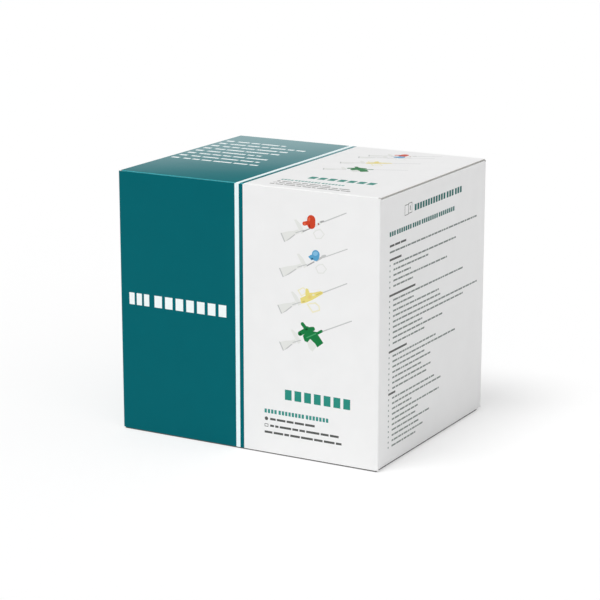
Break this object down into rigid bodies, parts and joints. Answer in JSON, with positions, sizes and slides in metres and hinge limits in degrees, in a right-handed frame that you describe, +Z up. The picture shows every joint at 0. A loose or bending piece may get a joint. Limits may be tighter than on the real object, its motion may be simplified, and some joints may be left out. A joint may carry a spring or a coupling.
{
  "type": "tuck-top folding carton",
  "caption": "Printed folding carton, nearly a cube, with a hinged tuck lid, inner dust flaps and a glued bottom, filled with sealed packs stacked in nested pairs.",
  "frame": {"origin": "centre of the rectangle the carton stands on, at floor level", "axes": "+Z up; the printed front faces -Y; +X points to the viewer's right of that front and runs along the carton's longest side"},
  "size_m": [0.168, 0.1372, 0.154],
  "materials": {
    "printed_board": "white-lined folding boxboard with a semi-gloss varnish over printed fields of dark teal and white",
    "pack_paper": "matt white medical paper sealed to a milky formed film"
  },
  "bodies": {
    "carton": {"carton": "printed_board", "pack_1_1": "pack_paper", "pack_1_2": "pack_paper", "pack_1_3": "pack_paper", "pack_1_4": "pack_paper", "pack_1_5": "pack_paper", "pack_1_6": "pack_paper", "pack_1_7": "pack_paper", "pack_1_8": "pack_paper", "pack_1_9": "pack_paper", "pack_1_10": "pack_paper", "pack_2_1": "pack_paper", "pack_2_2": "pack_paper", "pack_2_3": "pack_paper", "pack_2_4": "pack_paper", "pack_2_5": "pack_paper", "pack_2_6": "pack_paper", "pack_2_7": "pack_paper", "pack_2_8": "pack_paper", "pack_2_9": "pack_paper", "pack_2_10": "pack_paper", "pack_3_1": "pack_paper", "pack_3_2": "pack_paper", "pack_3_3": "pack_paper", "pack_3_4": "pack_paper", "pack_3_5": "pack_paper", "pack_3_6": "pack_paper", "pack_3_7": "pack_paper", "pack_3_8": "pack_paper", "pack_3_9": "pack_paper", "pack_3_10": "pack_paper", "pack_4_1": "pack_paper", "pack_4_2": "pack_paper", "pack_4_3": "pack_paper", "pack_4_4": "pack_paper", "pack_4_5": "pack_paper", "pack_4_6": "pack_paper", "pack_4_7": "pack_paper", "pack_4_8": "pack_paper", "pack_4_9": "pack_paper", "pack_4_10": "pack_paper", "pack_5_1": "pack_paper", "pack_5_2": "pack_paper", "pack_5_3": "pack_paper", "pack_5_4": "pack_paper", "pack_5_5": "pack_paper", "pack_5_6": "pack_paper", "pack_5_7": "pack_paper", "pack_5_8": "pack_paper", "pack_5_9": "pack_paper", "pack_5_10": "pack_paper"},
    "lid": {"lid": "printed_board"}
  },
  "joints": [
    {"name": "lid_hinge", "type": "hinge", "parent": "carton", "child": "lid", "pos_m": [0, 0.06755, 0.154], "axis": [-1, 0, 0], "range_deg": [0, 180]}
  ]
}
